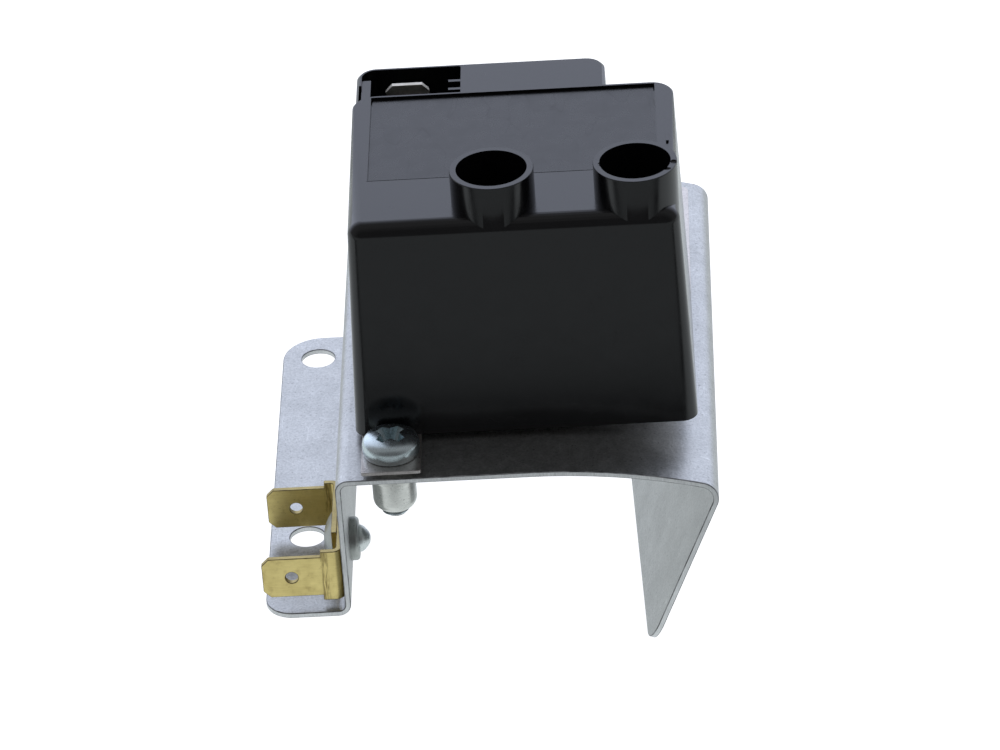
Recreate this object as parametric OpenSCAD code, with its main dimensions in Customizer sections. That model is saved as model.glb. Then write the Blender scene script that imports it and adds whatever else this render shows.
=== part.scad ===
// Two-outlet high-voltage spark generator for a gas or oil burner.
// A black potted housing with two high-voltage towers stands on a thin
// mounting plate, and two screws hold that plate on a bent sheet bracket.
// Origin: midway between the two holes of the bracket's foot, on its underside.
// X runs to the right along the front, Y to the back and Z up.

/* [Bracket sheet] */
// Thickness of the bracket's sheet
sheet_t = 0.8; // [0.6:0.1:1.2]
// Height from the foot's underside to the top of the plate
bracket_h = 22.3; // [20:0.1:30]
// Depth of the top plate, front to back
plate_depth = 82; // [78:1:100]
// Inside radius of the bends at the web
bend_r = 1; // [0.6:0.1:1.5]
// Length of flat plate, from the web's outer face to the start of the arch
arch_start = 27; // [20:1:30]
// Radius of the arch, on the top of the sheet
arch_r = 90; // [70:1:120]
// Width of the arched part
arch_run = 23.5; // [22:0.5:27]

/* [Bracket foot] */
// Length of the foot, front to back
foot_len = 73; // [66:1:78]
// Width of the foot, from its outer edge to the web's outer face
foot_w = 11.3; // [10:0.1:14]
// Diameter of the two holes in the foot
hole_d = 5; // [4:0.1:5.5]
// Distance between the two holes in the foot
hole_pitch = 48; // [40:1:50]
// Distance of the holes from the web's outer face
hole_to_web = 6; // [5:0.1:7]
// Distance of the front hole from the foot's front end
hole_to_front = 19.1; // [16:0.1:20]
// Corner radius of the foot at the front
foot_front_r = 4; // [1:0.5:5]
// Corner radius of the foot at the back
foot_rear_r = 5.8; // [2:0.2:7]

/* [Bracket leg] */
// Inside radius of the bend at the leg
leg_bend_r = 2; // [1:0.1:3]
// Lean of the leg from upright
leg_lean = 22.6; // [10:0.2:28]
// Length of the leg's flat at the front
leg_len = 25.4; // [20:0.2:30]
// Slant of the leg's lower edge
leg_slant = 7; // [0:0.1:8]
// Radius of the leg's lower corners
leg_corner_r = 5; // [2:0.5:6]
// Angle in plan between the leg's bend and the web
leg_skew = 0.85; // [0:0.05:1]

/* [Mounting plate] */
// Thickness of the mounting plate
base_t = 0.5; // [0.5:0.1:1]
// Width of the front lug
lug_w = 8.2; // [8:0.1:10]
// Overhang of the rear flange behind the housing
flange_depth = 8.1; // [8:0.1:10]
// Distance of the front lug's edge in front of the screw
lug_nose = 5.1; // [4.4:0.1:5.4]
// Ledge of the plate that shows to the right of the housing, at its rear end
ledge_w = 0.5; // [0.3:0.1:1.5]
// Start of that ledge, behind the housing's front
ledge_start = 13; // [10:1:25]
// Distance of the plate's front edge behind the housing's front
base_back = 1.5; // [0.6:0.1:1.6]

/* [Fixings] */
// Thread diameter of the fixing screws
screw_d = 4; // [3.5:0.5:4]
// Diameter of the screw heads
head_d = 8; // [7:0.1:8]
// Height of the screw heads
head_h = 3.1; // [2:0.1:3.4]
// Length of the screws under the head
screw_len = 9.7; // [9:0.1:12]
// Distance of the front screw from the plate's front edge
screw_to_front = 5; // [4.6:0.1:5]
// Distance of the screws from the web's outer face
screw_to_web = 7.9; // [7:0.1:9]
// Outer diameter of the rivet nuts
nut_d = 6.1; // [5.8:0.1:6.4]
// Length of the rivet nuts below the bracket
nut_len = 6.7; // [5:0.1:7.5]
// Thickness of the rivet nuts' flange
nut_flange_t = 0.8; // [0.5:0.1:1.2]
// Diameter of the rivet nuts' flange
nut_flange_d = 7; // [6.8:0.1:8]

/* [Housing] */
// Width of the housing at its base
housing_w = 47.5; // [46:0.2:50]
// Height of the housing's main body
housing_h = 32.7; // [31:0.1:38]
// Depth of the main body at its base
body_depth = 39.2; // [38:0.1:44]
// Gap from the web's outer face to the housing
housing_to_web = 2.8; // [2:0.1:4]
// Gap from the plate's front edge to the housing
housing_to_front = 9.1; // [9.1:0.1:11]
// Draft of the housing's sides
draft = 2; // [1:0.1:2.5]
// Radius of the upright corners
corner_r = 2.2; // [1.5:0.1:3]
// Radius of the upright corners at the back
rear_r = 3.2; // [1.5:0.1:4]
// Radius along the top edges
top_r = 2.2; // [1:0.1:2.2]
// Wall thickness of the housing
wall = 1.6; // [1.4:0.1:2]

/* [Label field] */
// Depth of the sunk field in the top
field_depth = 0.4; // [0.2:0.1:1]
// Margin of the sunk field at both sides
field_side = 2.6; // [2.1:0.1:4]
// Margin of the sunk field at the back
field_back = 0.6; // [0.4:0.1:2]
// Distance of the sunk field from the top's front edge
field_front = 12.9; // [12:0.1:16]
// Length of the small moulded bar beside the field
bar_len = 3.4; // [2:0.1:6]

/* [Towers] */
// Outer diameter of the towers
tower_d = 11.5; // [11:0.1:12]
// Bore of the towers
socket_d = 9.7; // [9.4:0.1:9.8]
// Distance of the towers behind the top's front edge
tower_back = 0.1; // [0:0.1:1]
// Height of the towers above the top
tower_h = 5; // [3:0.1:8]
// Distance between the two towers
tower_pitch = 19.5; // [18:0.1:22]
// Depth of the sockets, from the rim
socket_depth = 13; // [11:0.1:14]
// Diameter of the contact well below each socket
well_d = 5; // [4.4:0.1:6]
// Depth of the contact well
well_depth = 5; // [4:0.1:6]

/* [Terminal block] */
// Height of the terminal block
block_h = 27.7; // [26:0.1:29]
// Width of the terminal block at its base
block_w = 37.7; // [36:0.1:40]
// Depth of the terminal block behind the main body, at its base
block_depth = 17.2; // [16:0.1:20]
// Radius of the terminal block's rear corners
block_r = 2.8; // [2:0.1:3.5]
// Width of the open terminal bay
bay_w = 14.3; // [13.5:0.1:16]
// Depth of the bay below the block's top
bay_depth = 13; // [10:0.1:14]
// Thickness of the bay's outer wall at the top
rim_t = 0.7; // [0.6:0.1:1.2]
// Thickness of the pillar on the bay's left wall
pillar_t = 1.3; // [0.8:0.1:2]
// Length of the two guide ribs on the bay's right wall
rib_len = 1.8; // [1:0.1:2.2]
// Thickness of the guide ribs
rib_t = 0.6; // [0.5:0.1:0.8]
// Gap between the guide ribs
rib_gap = 1.8; // [1.5:0.1:2.2]

/* [Flat tabs] */
// Width of every flat tab
tab_w = 6.3; // [6.3:0.1:6.4]
// Thickness of every flat tab
tab_t = 0.8; // [0.8:0.1:0.9]
// Length of the chamfers at the tabs' tips
tab_tip = 1; // [0.5:0.1:1.3]
// Hole in the tabs
tab_hole_d = 1.8; // [1.5:0.1:2]
// Distance of the tabs' holes from their tips
tab_hole_in = 4.1; // [3.8:0.1:4.4]
// Distance between the two mains tabs
mains_pitch = 8.5; // [8:0.1:8.8]
// Distance of the rear mains tab from the block's rear edge, at the top
mains_to_rear = 4.6; // [3.2:0.1:5]
// Distance of the mains tabs' tips below the block's top
mains_below = 0.4; // [0.2:0.1:2]

/* [Earth tabs] */
// Length of the earth tabs' blades
earth_len = 8.3; // [7.5:0.1:9]
// Distance of the blades' shoulders from the web
earth_neck = 3; // [2.8:0.1:3.6]
// Width of the earth tabs' riveted base
earth_base_w = 8; // [7.5:0.1:8.4]
// Distance of the blades' outer faces from the rivet
earth_reach = 9.1; // [7:0.1:9.4]
// Length of the earth tabs' base past the rivet
earth_tail = 4.3; // [4.1:0.1:5]
// Inside radius of the earth tabs' bend
earth_bend_r = 0.5; // [0.3:0.1:0.6]
// Distance of the rivet from the foot's front end
rivet_to_front = 10.6; // [10.3:0.1:12]
// Height of the rivet above the foot's underside
rivet_z = 5.8; // [5.8:0.1:9]
// Diameter of the rivet
rivet_d = 4; // [3.2:0.1:4]
// Diameter of the rivet's domed head
rivet_head_d = 8; // [7:0.1:8]
// Height of the rivet's domed head
rivet_head_h = 1.4; // [0.8:0.1:1.6]

/* [Circuit and transformer] */
// Thickness of the circuit board
board_t = 1.6; // [1.2:0.1:1.6]
// Height of the board above the mounting plate
board_z = 2.9; // [2:0.1:4]
// Radius of the ferrite rod
rod_r = 4; // [3:0.1:4.5]
// How far the ferrite rod stands out of the bobbin at each end
rod_out = 1; // [0.5:0.1:2]
// Radius of the round flanges of the bobbin
flange_r = 9.4; // [9:0.1:9.6]
// Length of the bobbin
bobbin_len = 34; // [30:0.1:36]
// Thickness of the bobbin's flanges
flange_t = 0.8; // [0.6:0.1:1]
// Winding chambers on each side of the primary
chambers = 4; // [2:1:5]
// Width of the primary's chamber
primary_w = 6; // [5:0.1:8]
// Radius of the wound secondary
secondary_r = 8.4; // [7:0.1:8.8]
// Radius of the wound primary
primary_r = 7.2; // [6:0.1:8]

/* [Hidden] */
$fn = 96;
hull_fn = 32;
eps = 0.01;
// Running clearance round pieces set in the resin or passed through holes
gap = 0.15;

// Height levels
plate_z = bracket_h;
base_z = plate_z + nut_flange_t;
seat_z = base_z + base_t;
top_z = seat_z + housing_h;
block_z = seat_z + block_h;
rim_z = top_z + tower_h;

// The bracket in plan
web_x = hole_to_web;
front_y = -hole_pitch / 2 - hole_to_front;
rear_y = front_y + plate_depth;
outer_r = bend_r + sheet_t;
leg_outer_r = leg_bend_r + sheet_t;
bend_steps = 16;
leg_drop = leg_len + plate_depth * tan(leg_slant);
arch_a = asin(arch_run / arch_r);
arch_x = web_x + arch_start;
leg_cx = arch_x + (arch_r - leg_outer_r) * sin(arch_a);
leg_cz = plate_z - arch_r + (arch_r - leg_outer_r) * cos(arch_a);

// The housing in plan, at its base and at its top
house_x = web_x + housing_to_web;
house_y = front_y + housing_to_front;
top_in = housing_h * tan(draft);
top_x0 = house_x + top_in;
top_x1 = house_x + housing_w - top_in;
top_y0 = house_y + top_in;
top_y1 = house_y + body_depth - top_in;
block_in = block_h * tan(draft);
rear_edge = 0.25;
block_edge = 0.4;
bar_t = 0.4;
bar_h = 0.3;
bar_x = top_x1 - 1.4;
bar_y = top_y0 + field_front + 6.4;
block_y1 = house_y + body_depth + block_depth - block_in;

// The towers
tower_y = top_y0 + tower_back + tower_d / 2;
tower_x = [top_x1 - tower_d / 2 - tower_pitch, top_x1 - tower_d / 2];
socket_z = rim_z - socket_depth;
well_z = socket_z - well_depth;
well_floor = 1.8;
contact_r = well_d / 2 - gap;
contact_pin_r = 0.8;
rim_chamfer = 0.15;

// The terminal bay
bay_x0 = house_x + block_in + rim_t;
bay_x1 = bay_x0 + bay_w;
bay_y0 = house_y + body_depth + 0.4;
bay_y1 = block_y1 - rim_t;
bay_z = block_z - bay_depth;
pillar_y = bay_y1 - 2;
pillar_slot_y = pillar_y - 8;
pillar_slot_len = 5.5;
pillar_slot_w = 0.35;
details_h = bay_depth - 0.3;

// The screws
screw_x = web_x + screw_to_web;
screw_y = [front_y + screw_to_front, house_y + body_depth + block_depth + head_d / 2 + 0.3];
shank_r = screw_d / 2 - 0.05;

// The mounting plate in plan
base_x0 = screw_x - lug_w / 2;
base_x1 = house_x + housing_w - 1;
base_y0 = house_y + base_back;
base_y1 = house_y + body_depth + block_depth + flange_depth;
ledge_y = house_y + ledge_start;

// The circuit board and the transformer
board_lo = seat_z + board_z;
board_hi = board_lo + board_t;
board_x0 = house_x + wall + 2.4;
board_x1 = house_x + housing_w - wall - 2.4;
board_x2 = house_x + block_w - wall - 1;
board_y0 = house_y + wall + 2.4;
board_y1 = house_y + body_depth - wall - 1.5;
board_y2 = house_y + body_depth + block_depth - wall - 1.4;
tube_r = rod_r + 1.2;
rod_len = bobbin_len + 2 * rod_out;
coil_x = (board_x0 + board_x1) / 2;
coil_y = board_y1 - flange_r - 0.4;
coil_z = board_hi + flange_r + 1.7;
chamber_w = (bobbin_len - primary_w - (2 * chambers + 2) * flange_t) / (2 * chambers);

// The parts on the board, each placed from the board's front left corner
capacitor_at = [1.5, 1.2];
capacitor_size = [13, 6, 10.5];
trigger_at = [18.5, 4];
trigger_r = 2.4;
trigger_h = 6;
trigger_flat = 1.4;
rectifier_at = [30, 2.5];
rectifier_r = 1.35;
rectifier_len = 5;
resistor_at = [26, 8];
resistor_r = 1.6;
resistor_len = 9;
wire_r = 0.4;
wire_out = 1.4;
lead_r = 0.7;
lead_z = well_z - well_floor - 2 * lead_r - 0.7;

// The mains tabs
mains_x = (bay_x0 + bay_x1) / 2 - 0.6;
mains_y = [block_y1 - mains_to_rear, block_y1 - mains_to_rear - mains_pitch];
mains_top = block_z - mains_below;
mains_root_w = 4;

// The earth tabs and their rivet
rivet_y = front_y + rivet_to_front;
bulb_d = 6.2;
bulb_h = 1.2;
bulb_edge = 0.5;
mandrel_d = 3.9;
mandrel_h = 1.6;
mandrel_edge = 0.9;
mandrel_r = rivet_d / 4;

// Direction from point a to point b
function toward(a, b) = (b - a) / norm(b - a);

// Half of the angle at corner i of a polygon
function half_angle(p, i) =
    let(n = len(p), u = toward(p[i], p[(i + n - 1) % n]), v = toward(p[i], p[(i + 1) % n]))
    acos(max(-1, min(1, u * v))) / 2;

// Points along an arc about c, all but its last one
function arc(c, r, a0, a1) =
    [for (i = [0:bend_steps - 1]) let(a = a0 + (a1 - a0) * i / bend_steps) c + r * [cos(a), sin(a)]];

// Convex polygon whose corners are rounded by true arcs; a radius of 0 keeps a corner sharp
module rounded(p, r) {
    n = len(p);
    tangents = [for (i = [0:n - 1])
        let(d = r[i] / tan(half_angle(p, i)))
        each r[i] == 0 ? [p[i]] :
            [p[i] + toward(p[i], p[(i + n - 1) % n]) * d, p[i] + toward(p[i], p[(i + 1) % n]) * d]];
    polygon(tangents);
    for (i = [0:n - 1]) if (r[i] > 0) {
        u = toward(p[i], p[(i + n - 1) % n]);
        v = toward(p[i], p[(i + 1) % n]);
        translate(p[i] + (u + v) / norm(u + v) * r[i] / sin(half_angle(p, i))) circle(r[i]);
    }
}

// Slice of a ring between two angles, for a bend of at most 170 degrees
module ring_slice(r_in, r_out, a0, a1) {
    far = 2 * r_out;
    intersection() {
        difference() {
            circle(r_out);
            circle(r_in);
        }
        polygon([[0, 0], far * [cos(a0), sin(a0)],
            far * [cos((a0 + a1) / 2), sin((a0 + a1) / 2)], far * [cos(a1), sin(a1)]]);
    }
}

// Profile in X and Z pulled along Y
module pull(y0, y1) {
    translate([0, y1, 0]) rotate([90, 0, 0]) linear_extrude(y1 - y0) children();
}

// Block with draft and rounded upright corners; its top edge is rounded in front and fine behind
module drafted_block(x0, x1, y0, y1, z0, z1, rc, rr, rt) {
    shrink = (z1 - z0) * tan(draft);
    hull() {
        for (x = [x0 + rc, x1 - rc])
            translate([x, y0 + rc, z0]) cylinder(r = rc, h = eps, $fn = hull_fn);
        for (x = [x0 + rr, x1 - rr])
            translate([x, y1 - rr, z0]) cylinder(r = rr, h = eps, $fn = hull_fn);
        for (x = [x0 + shrink + rt, x1 - shrink - rt])
            translate([x, y0 + shrink + rt, z1 - rt]) sphere(rt, $fn = hull_fn);
        for (x = [x0 + shrink + rr, x1 - shrink - rr]) translate([x, y1 - shrink - rr, z1]) {
            translate([0, 0, -rear_edge]) cylinder(r = rr, h = eps, $fn = hull_fn);
            translate([0, 0, -eps]) cylinder(r = rr - rear_edge, h = eps, $fn = hull_fn);
        }
    }
}

// The terminal block's form, with larger rear corners and a fine top edge
module block_form(x0, x1, y0, y1, z0, z1, rc) {
    shrink = (z1 - z0) * tan(draft);
    hull() {
        for (x = [x0 + rc, x1 - rc], y = [y0, y1 - rc])
            translate([x, y, z0]) cylinder(r = rc, h = eps, $fn = hull_fn);
        for (x = [x0 + shrink + rc, x1 - shrink - rc], y = [y0, y1 - shrink - rc]) {
            translate([x, y, z1 - block_edge]) cylinder(r = rc, h = eps, $fn = hull_fn);
            translate([x, y, z1 - eps]) cylinder(r = rc - block_edge, h = eps, $fn = hull_fn);
        }
    }
}

// Bent sheet bracket: foot, web, arched plate and leaning leg
module bracket() {
    color("#b9bcc2")
    difference() {
        union() {
            plate_and_leg();
            pull(front_y, front_y + foot_len) web_profile();
            foot();
        }
        for (y = screw_y) translate([screw_x, y, plate_z - sheet_t - 1]) cylinder(d = nut_d + 0.1, h = sheet_t + 2);
        translate([web_x - 1, rivet_y, rivet_z]) rotate([0, 90, 0]) cylinder(d = rivet_d + 0.1, h = sheet_t + 2);
    }
}

// Flat plate, and the leg bent along a line a little askew, trimmed square in front and behind
module plate_and_leg() {
    far = 4 * bracket_h;
    difference() {
        union() {
            translate([web_x + outer_r, front_y - 6, plate_z - sheet_t])
                cube([arch_start - outer_r - 2, plate_depth + 12, sheet_t]);
            along_bend() pull(-5, plate_depth + 5) leg_profile();
        }
        along_bend() leg_trim();
        for (y = [front_y - far, rear_y]) translate([-far / 2, y, -far / 2]) cube([2 * far, far, far]);
    }
}

// Frame of the bend: its origin on top of the plate at the arch's start in front, its Y along the bend
module along_bend() {
    translate([arch_x, front_y, plate_z]) rotate([0, 0, -leg_skew]) children();
}

// Profile of a strip of the flat, the arch, the bend and the leg
module leg_profile() {
    arch_c = [0, -arch_r];
    leg_c = [leg_cx - arch_x, leg_cz - plate_z];
    out = [cos(leg_lean), -sin(leg_lean)];
    down = [-sin(leg_lean), -cos(leg_lean)];
    polygon(concat(
        [[-5, 0]],
        arc(arch_c, arch_r, 90, 90 - arch_a),
        arc(leg_c, leg_outer_r, 90 - arch_a, -leg_lean),
        [leg_c + out * leg_outer_r, leg_c + out * leg_outer_r + down * leg_drop,
            leg_c + out * leg_bend_r + down * leg_drop],
        arc(leg_c, leg_bend_r, -leg_lean, 90 - arch_a),
        arc(arch_c, arch_r - sheet_t, 90 - arch_a, 90),
        [[0, -sheet_t], [-5, -sheet_t]]));
}

// Upright web with its bends into the plate and the foot
module web_profile() {
    translate([web_x + outer_r, plate_z - outer_r]) ring_slice(bend_r, outer_r, 90, 180);
    translate([web_x, outer_r]) square([sheet_t, bracket_h - 2 * outer_r]);
    translate([web_x - bend_r, outer_r]) ring_slice(bend_r, outer_r, 270, 360);
}

// Foot with its two fixing holes
module foot() {
    x0 = web_x - foot_w;
    x1 = web_x - bend_r;
    y1 = front_y + foot_len;
    difference() {
        linear_extrude(sheet_t)
            rounded([[x0, front_y], [x1, front_y], [x1, y1], [x0, y1]], [foot_front_r, 0, 0, foot_rear_r]);
        for (y = [-hole_pitch / 2, hole_pitch / 2])
            translate([0, y, -1]) cylinder(d = hole_d, h = sheet_t + 2);
    }
}

// What is cut off the leg below its slanted edge and round its corners, square to its sheet
module leg_trim() {
    side = (leg_cx - arch_x - leg_len * sin(leg_lean)) * tan(leg_skew);
    depth = plate_depth / cos(leg_skew);
    translate([leg_cx - arch_x, side, leg_cz - plate_z]) rotate([0, leg_lean, 0]) translate([leg_bend_r - 1, 0, 0])
        rotate([90, 0, 90]) linear_extrude(sheet_t + 2) difference() {
            translate([-2, -leg_drop - 1]) square([depth + 4, leg_drop]);
            rounded([[0, 0], [0, -leg_len], [depth, -leg_drop], [depth, 0]],
                [0, leg_corner_r, leg_corner_r, 0]);
        }
}

// Thin plate under the housing, with a lug in front, a ledge at the right and a flange behind
module mounting_plate() {
    color("#a9a4a2")
    translate([0, 0, base_z]) linear_extrude(base_t) difference() {
        union() {
            rounded([[base_x0, screw_y[0] - lug_nose], [base_x0 + lug_w, screw_y[0] - lug_nose],
                [base_x0 + lug_w, base_y0 + 2], [base_x0, base_y0 + 2]], [0.3, 0.3, 0, 0]);
            translate([base_x0, base_y0]) square([base_x1 - base_x0, ledge_y + 2 - base_y0]);
            rounded([[base_x0, ledge_y], [house_x + housing_w - 0.3, ledge_y],
                [house_x + housing_w + ledge_w, base_y1], [base_x0, base_y1]], [0, 0, 1, 1]);
        }
        for (y = screw_y) translate([screw_x, y]) circle(d = screw_d + 0.4);
    }
}

// Rivet nuts clinched in the bracket, one under each screw
module rivet_nuts() {
    color("#aaadaa")
    for (y = screw_y) translate([screw_x, y, plate_z]) rotate_extrude() rivet_nut_half();
}

// Half section of a rivet nut: flange, body, clinched bulge and rounded end
module rivet_nut_half() {
    r = nut_d / 2;
    low = -sheet_t - nut_len;
    end_r = 1.6;
    difference() {
        union() {
            square([nut_flange_d / 2, nut_flange_t]);
            translate([0, low + end_r]) square([r, -low - end_r]);
            translate([0, low]) square([r - end_r, end_r + eps]);
            translate([r - end_r, low + end_r]) circle(end_r);
            translate([0, -sheet_t - 1.5]) square([r + 0.5, 1.5]);
        }
        translate([-1, low - 1]) square([screw_d / 2 + 1, nut_flange_t - low + 2]);
        translate([-nut_d, low - 1]) square([nut_d, nut_flange_t - low + 2]);
    }
}

// Pan-head screws with a cross recess
module fixing_screws() {
    color("#c3c6c8")
    for (y = screw_y) translate([screw_x, y, seat_z]) {
        difference() {
            rotate_extrude() pan_head_half();
            cross_recess();
        }
        translate([0, 0, 0.6 - screw_len]) cylinder(r = shank_r, h = screw_len - 0.6 + eps);
        translate([0, 0, -screw_len]) cylinder(r1 = shank_r - 0.4, r2 = shank_r, h = 0.6);
    }
}

// Half section of a pan head: straight rim, rounded edge and slightly crowned top
module pan_head_half() {
    crown_r = 11;
    edge_r = 0.45;
    r = head_d / 2;
    rim = head_h - crown_r + sqrt(crown_r * crown_r - r * r);
    intersection() {
        union() {
            square([r, rim - edge_r]);
            square([r - edge_r, head_h]);
            translate([r - edge_r, rim - edge_r]) circle(edge_r);
        }
        translate([0, head_h - crown_r]) circle(crown_r);
        square([head_d, head_h]);
    }
}

// Cross recess sunk in a head, on the head's axis
module cross_recess() {
    deep = 1.5;
    translate([0, 0, head_h - deep]) {
        for (a = [20, 110]) rotate(a) translate([-2, -0.45, 0]) cube([4, 0.9, deep + 1]);
        cylinder(r1 = 0.7, r2 = 1.35, h = deep + eps);
    }
}

// Moulded housing: main body, towers and terminal block, open below
module housing() {
    color("#26272a")
    difference() {
        union() {
            difference() {
                union() {
                    drafted_block(house_x, house_x + housing_w, house_y, house_y + body_depth,
                        seat_z, top_z, corner_r, rear_r, top_r);
                    block_form(house_x, house_x + block_w, house_y + body_depth - 6,
                        house_y + body_depth + block_depth, seat_z, block_z, block_r);
                }
                cavity(0);
                label_field();
            }
            for (x = tower_x) translate([x, tower_y, 0]) tower();
        }
        for (x = tower_x) translate([x, tower_y, 0]) socket();
        terminal_bay();
        pillar_slot();
        for (y = mains_y) translate([mains_x - mains_root_w / 2 - gap, y - tab_t / 2 - gap, bay_z - wall - 1])
            cube([mains_root_w + 2 * gap, tab_t + 2 * gap, wall + 2]);
    }
    color("#26272a") housing_details();
}

// Inside of the housing, filled with resin; grow shrinks it by a small gap
module cavity(grow) {
    inner = wall + grow;
    difference() {
        union() {
            drafted_block(house_x + inner, house_x + housing_w - inner, house_y + inner,
                house_y + body_depth - inner, seat_z, top_z - inner, corner_r, rear_r, top_r);
            block_form(house_x + inner, house_x + block_w - inner, house_y + body_depth - 7,
                house_y + body_depth + block_depth - inner, seat_z, block_z - inner, block_r);
        }
        // The bay's walls and floor stand inside the block's hollow
        translate([house_x, bay_y0 - inner, bay_z - inner])
            cube([bay_x1 + inner - house_x, block_depth + 10, bay_depth + 10]);
        for (x = tower_x) translate([x, tower_y, well_z - well_floor - grow])
            cylinder(d = tower_d + 2 * grow, h = rim_z - well_z);
    }
}

// Tower wall, from its rim down to the contact well's floor
module tower() {
    z0 = well_z - well_floor;
    translate([0, 0, z0]) cylinder(d = tower_d, h = rim_z - rim_chamfer - z0);
    translate([0, 0, rim_z - rim_chamfer])
        cylinder(d1 = tower_d, d2 = tower_d - rim_chamfer, h = rim_chamfer);
}

// Socket, contact well and the hole for the contact's pin
module socket() {
    translate([0, 0, socket_z]) cylinder(d = socket_d, h = socket_depth + 1);
    translate([0, 0, well_z]) cylinder(d = well_d, h = well_depth + eps);
    translate([0, 0, well_z - well_floor - 1]) cylinder(r = contact_pin_r + gap, h = well_floor + 2);
}

// Sunk field in the top
module label_field() {
    translate([top_x0 + field_side, top_y0 + field_front, top_z - field_depth])
        cube([top_x1 - top_x0 - 2 * field_side, top_y1 - top_y0 - field_front - field_back, field_depth + 1]);
}

// Open bay for the mains tabs
module terminal_bay() {
    r = block_r - rim_t;
    translate([0, 0, bay_z]) linear_extrude(bay_depth + 1)
        rounded([[bay_x0, bay_y0], [bay_x1, bay_y0], [bay_x1, bay_y1], [bay_x0, bay_y1]], [0.4, 0.4, 0.4, r]);
}

// Slot between the bay's outer wall and the pillar
module pillar_slot() {
    translate([bay_x0 - 0.35, pillar_slot_y, bay_z + 2]) cube([pillar_slot_w, pillar_slot_len, bay_depth]);
}

// Pillar and guide ribs inside the bay, and the small bar beside the sunk field
module housing_details() {
    difference() {
        translate([bay_x0 - 0.3, bay_y0 - 0.2, bay_z - 0.2]) cube([pillar_t + 0.3, pillar_y - bay_y0, details_h]);
        pillar_slot();
    }
    for (i = [0, 1]) translate([bay_x1 - rib_len, pillar_y - 1.1 - rib_t - i * (rib_gap + rib_t), bay_z - 0.2])
        cube([rib_len + 0.3, rib_t, details_h]);
    translate([bar_x, bar_y, top_z - bar_h]) cube([bar_t, bar_len, 2 * bar_h]);
}

// Cast resin that fills the housing round everything inside
module potting_compound() {
    color("#3a3634")
    difference() {
        cavity(gap / 3);
        board_form(gap);
        bobbin_space();
        capacitor_form(gap);
        trigger_form(gap);
        rectifier_form(gap);
        resistor_form(gap);
        leads_form(gap);
        for (x = tower_x) translate([x, tower_y, lead_z - gap]) cylinder(r = contact_pin_r + gap, h = well_z - lead_z);
        for (y = mains_y) translate([mains_x - mains_root_w / 2 - gap, y - tab_t / 2 - gap, board_hi - gap])
            cube([mains_root_w + 2 * gap, tab_t + 2 * gap, block_z - board_hi]);
    }
}

// Brass contact in the well under a socket, with its pin through the floor
module contact(x) {
    color("#b08d4a") translate([x, tower_y, 0]) {
        difference() {
            translate([0, 0, well_z]) cylinder(r = contact_r, h = well_depth - 0.5);
            translate([0, 0, well_z + 1]) cylinder(r = contact_r - 0.8, h = well_depth);
        }
        translate([0, 0, lead_z]) cylinder(r = contact_pin_r, h = well_z - lead_z + eps);
    }
}

module left_contact() {
    contact(tower_x[0]);
}

module right_contact() {
    contact(tower_x[1]);
}

// Upright mains tab, standing on the circuit board
module mains_tab(y) {
    w = tab_w / 2;
    root = mains_root_w / 2;
    color("#c9c7bd")
    translate([mains_x, y + tab_t / 2, 0]) rotate([90, 0, 0]) linear_extrude(tab_t) difference() {
        polygon([[-root, board_hi], [root, board_hi], [root, bay_z + 1], [w, bay_z + 1],
            [w, mains_top - tab_tip], [w - tab_tip, mains_top],
            [tab_tip - w, mains_top], [-w, mains_top - tab_tip], [-w, bay_z + 1], [-root, bay_z + 1]]);
        translate([0, mains_top - tab_hole_in]) circle(d = tab_hole_d);
    }
}

module line_tab() {
    mains_tab(mains_y[0]);
}

module neutral_tab() {
    mains_tab(mains_y[1]);
}

// Circuit board with its tongue under the terminal bay
module circuit_board() {
    color("#3f6b45") board_form(0);
}

module board_form(grow) {
    translate([0, 0, board_lo - grow]) linear_extrude(board_t + 2 * grow) {
        translate([board_x0 - grow, board_y0 - grow])
            square([board_x1 - board_x0 + 2 * grow, board_y1 - board_y0 + 2 * grow]);
        translate([board_x0 - grow, board_y1 - 1])
            square([board_x2 - board_x0 + 2 * grow, board_y2 - board_y1 + 1 + grow]);
    }
}

// Turned form about the coil's own axis, which runs along X
module on_coil_axis() {
    translate([coil_x, coil_y, coil_z]) rotate([0, 90, 0]) children();
}

// Position of flange i along the coil, counted from its left end
function flange_at(i) =
    -bobbin_len / 2 + i * (chamber_w + flange_t) + (i > chambers ? primary_w - chamber_w : 0);

// Bobbin with square cheeks that stand on the board, and round flanges between
module coil_bobbin() {
    last = 2 * chambers + 1;
    color("#d8d3c4") difference() {
        union() {
            on_coil_axis() translate([0, 0, -bobbin_len / 2]) cylinder(r = tube_r, h = bobbin_len);
            on_coil_axis() for (i = [1:last - 1]) translate([0, 0, flange_at(i)]) cylinder(r = flange_r, h = flange_t);
            for (i = [0, last]) translate([coil_x + flange_at(i), coil_y - flange_r, board_hi])
                cube([flange_t, 2 * flange_r, coil_z - board_hi + flange_r]);
        }
        on_coil_axis() translate([0, 0, -bobbin_len / 2 - 1]) cylinder(r = rod_r + gap, h = bobbin_len + 2);
    }
}

// Ferrite rod through the bobbin
module ferrite_rod() {
    color("#3c3c40") on_coil_axis() translate([0, 0, -rod_len / 2]) cylinder(r = rod_r, h = rod_len);
}

// Winding in chamber i, out to radius r
module winding(i, r) {
    width = flange_at(i + 1) - flange_at(i) - flange_t - 0.1;
    on_coil_axis() translate([0, 0, flange_at(i) + flange_t + 0.05]) difference() {
        cylinder(r = r, h = width);
        translate([0, 0, -1]) cylinder(r = tube_r + 0.05, h = width + 2);
    }
}

module primary_winding() {
    color("#a5552c") winding(chambers, primary_r);
}

module secondary_windings() {
    color("#8a4424") for (i = [0:2 * chambers]) if (i != chambers) winding(i, secondary_r);
}

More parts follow.
